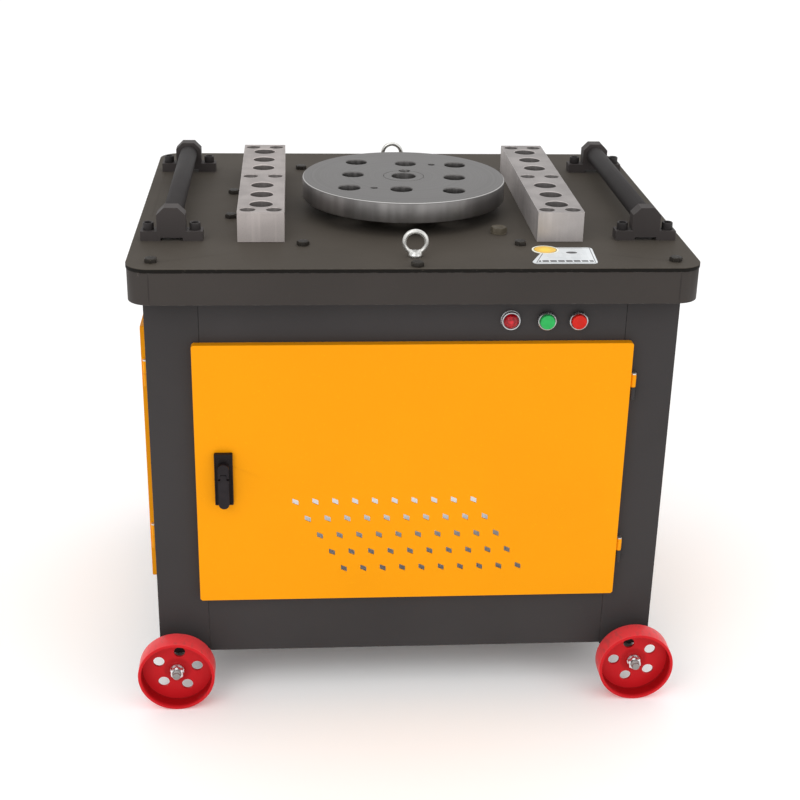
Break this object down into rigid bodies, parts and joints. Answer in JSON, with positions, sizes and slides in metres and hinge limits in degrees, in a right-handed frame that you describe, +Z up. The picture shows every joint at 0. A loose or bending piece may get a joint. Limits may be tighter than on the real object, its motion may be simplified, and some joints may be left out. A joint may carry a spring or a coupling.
{
  "type": "rebar bender",
  "caption": "Floor-standing steel bar bending machine: a powered disc with pin holes turns on a table between two hole blocks and support rollers, over a wheeled cabinet.",
  "frame": {"origin": "on the floor under the middle of the table plate", "axes": "+X to the right and +Y to the back as seen from the front door, +Z up"},
  "size_m": [0.924, 0.774, 0.846],
  "materials": {
    "table_paint": "satin brown-grey paint, worn at edges",
    "frame_paint": "satin dark grey powder coat",
    "door_paint": "semi-gloss orange-yellow powder coat",
    "dark_steel": "black oxide",
    "machined_steel": "milled and turned bare steel",
    "gear_steel": "oiled gear steel",
    "zinc": "bright zinc plate",
    "latch_plastic": "black moulded plastic",
    "latch_metal": "black powder coat",
    "red_lens": "clear red lens",
    "green_cap": "gloss green",
    "red_cap": "gloss red",
    "wheel_paint": "gloss red paint",
    "gearbox_iron": "painted casting",
    "stator_core": "laminated steel",
    "box_enamel": "light grey enamel",
    "plate_vinyl": "printed aluminium plate"
  },
  "bodies": {
    "frame": {"table_plate": "table_paint", "skirt": "table_paint", "corner_posts": "frame_paint", "front_rail": "frame_paint", "frame_rails": "frame_paint", "right_panel": "door_paint", "rear_panel": "door_paint", "panel_screws": "dark_steel", "hinge_knuckles": "frame_paint", "hinge_pins": "zinc", "lamp_bezel": "zinc", "lamp_lens": "red_lens", "button_bodies": "zinc", "motor_stator": "stator_core", "motor_housing": "gearbox_iron", "fan_cover": "gearbox_iron", "terminal_box": "gearbox_iron", "gearbox_housing": "gearbox_iron", "gearbox_cover": "gearbox_iron", "shaft_bearings": "gear_steel", "left_block": "machined_steel", "right_block": "machined_steel", "block_screws": "dark_steel", "roller_brackets": "dark_steel", "bracket_screws": "dark_steel", "lifting_eyes": "zinc", "table_bolts": "dark_steel", "oil_plug": "table_paint", "data_plate": "plate_vinyl", "axles": "machined_steel", "axle_saddles": "frame_paint", "wheel_nuts": "zinc", "control_box": "box_enamel", "cable_gland": "latch_plastic"},
    "front_door": {"front_door": "door_paint", "front_latch_base": "latch_plastic"},
    "front_latch": {"front_latch_hub": "latch_metal"},
    "front_lever": {"front_latch_lever": "latch_metal"},
    "side_door": {"side_door": "door_paint", "side_latch_base": "latch_plastic"},
    "side_latch": {"side_latch_hub": "latch_metal"},
    "side_lever": {"side_latch_lever": "latch_metal"},
    "start_button": {"start_cap": "green_cap"},
    "stop_button": {"stop_cap": "red_cap"},
    "spindle": {"working_disc": "machined_steel", "disc_key": "machined_steel", "main_shaft": "machined_steel", "main_gear": "gear_steel"},
    "second_stage": {"second_shaft": "machined_steel", "second_gear": "gear_steel"},
    "first_stage": {"first_shaft": "machined_steel", "first_gear": "gear_steel"},
    "rotor": {"motor_rotor": "machined_steel", "motor_fan": "latch_plastic"},
    "left_roller": {"left_roller": "dark_steel"},
    "right_roller": {"right_roller": "dark_steel"},
    "wheel_front_left": {"wheel_front_left": "wheel_paint"},
    "wheel_front_right": {"wheel_front_right": "wheel_paint"},
    "wheel_rear_left": {"wheel_rear_left": "wheel_paint"},
    "wheel_rear_right": {"wheel_rear_right": "wheel_paint"}
  },
  "joints": [
    {"name": "front_door_swing", "type": "hinge", "parent": "frame", "child": "front_door", "pos_m": [0.36, -0.3335, 0.42], "axis": [0, 0, 1], "range_deg": [0, 120]},
    {"name": "front_latch_turn", "type": "hinge", "parent": "front_door", "child": "front_latch", "pos_m": [-0.3085, -0.341, 0.439], "axis": [0, -1, 0], "range_deg": [0, 90]},
    {"name": "front_lever_tilt", "type": "hinge", "parent": "front_latch", "child": "front_lever", "pos_m": [-0.3085, -0.3557, 0.429], "axis": [-1, 0, 0], "range_deg": [0, 35]},
    {"name": "side_door_swing", "type": "hinge", "parent": "frame", "child": "side_door", "pos_m": [-0.435, -0.2585, 0.42], "axis": [0, 0, 1], "range_deg": [0, 120]},
    {"name": "side_latch_turn", "type": "hinge", "parent": "side_door", "child": "side_latch", "pos_m": [-0.4425, 0.207, 0.439], "axis": [-1, 0, 0], "range_deg": [0, 90]},
    {"name": "side_lever_tilt", "type": "hinge", "parent": "side_latch", "child": "side_lever", "pos_m": [-0.4572, 0.207, 0.429], "axis": [0, 1, 0], "range_deg": [0, 35]},
    {"name": "start_press", "type": "slide", "parent": "frame", "child": "start_button", "axis": [0, 1, 0], "range_m": [0, 0.004], "stiffness_N_per_m": 400, "springref_m": -0.002},
    {"name": "stop_press", "type": "slide", "parent": "frame", "child": "stop_button", "axis": [0, 1, 0], "range_m": [0, 0.004], "stiffness_N_per_m": 400, "springref_m": -0.002},
    {"name": "disc_spin", "type": "hinge", "parent": "frame", "child": "spindle", "pos_m": [0, -0.03, 0.8], "axis": [0, 0, 1], "continuous": true},
    {"name": "second_spin", "type": "hinge", "parent": "frame", "child": "second_stage", "pos_m": [0.05315, 0.13358, 0.7], "axis": [0, 0, 1], "continuous": true},
    {"name": "first_spin", "type": "hinge", "parent": "frame", "child": "first_stage", "pos_m": [-0.08185, 0.13358, 0.7], "axis": [0, 0, 1], "continuous": true},
    {"name": "rotor_spin", "type": "hinge", "parent": "frame", "child": "rotor", "pos_m": [-0.08185, 0.02858, 0.5], "axis": [0, 0, 1], "continuous": true},
    {"name": "left_roller_spin", "type": "hinge", "parent": "frame", "child": "left_roller", "pos_m": [-0.387, 0, 0.822], "axis": [0, 1, 0], "continuous": true},
    {"name": "right_roller_spin", "type": "hinge", "parent": "frame", "child": "right_roller", "pos_m": [0.387, 0, 0.822], "axis": [0, 1, 0], "continuous": true},
    {"name": "wheel_front_left_spin", "type": "hinge", "parent": "frame", "child": "wheel_front_left", "pos_m": [-0.397, -0.37, 0.065], "axis": [0, 1, 0], "continuous": true},
    {"name": "wheel_front_right_spin", "type": "hinge", "parent": "frame", "child": "wheel_front_right", "pos_m": [0.397, -0.37, 0.065], "axis": [0, 1, 0], "continuous": true},
    {"name": "wheel_rear_left_spin", "type": "hinge", "parent": "frame", "child": "wheel_rear_left", "pos_m": [-0.397, 0.37, 0.065], "axis": [0, 1, 0], "continuous": true},
    {"name": "wheel_rear_right_spin", "type": "hinge", "parent": "frame", "child": "wheel_rear_right", "pos_m": [0.397, 0.37, 0.065], "axis": [0, 1, 0], "continuous": true}
  ],
  "couplings": [
    {"joint": "second_spin", "follows": "disc_spin", "ratio": -5.1429},
    {"joint": "first_spin", "follows": "disc_spin", "ratio": 25.714},
    {"joint": "rotor_spin", "follows": "disc_spin", "ratio": -128.57}
  ]
}
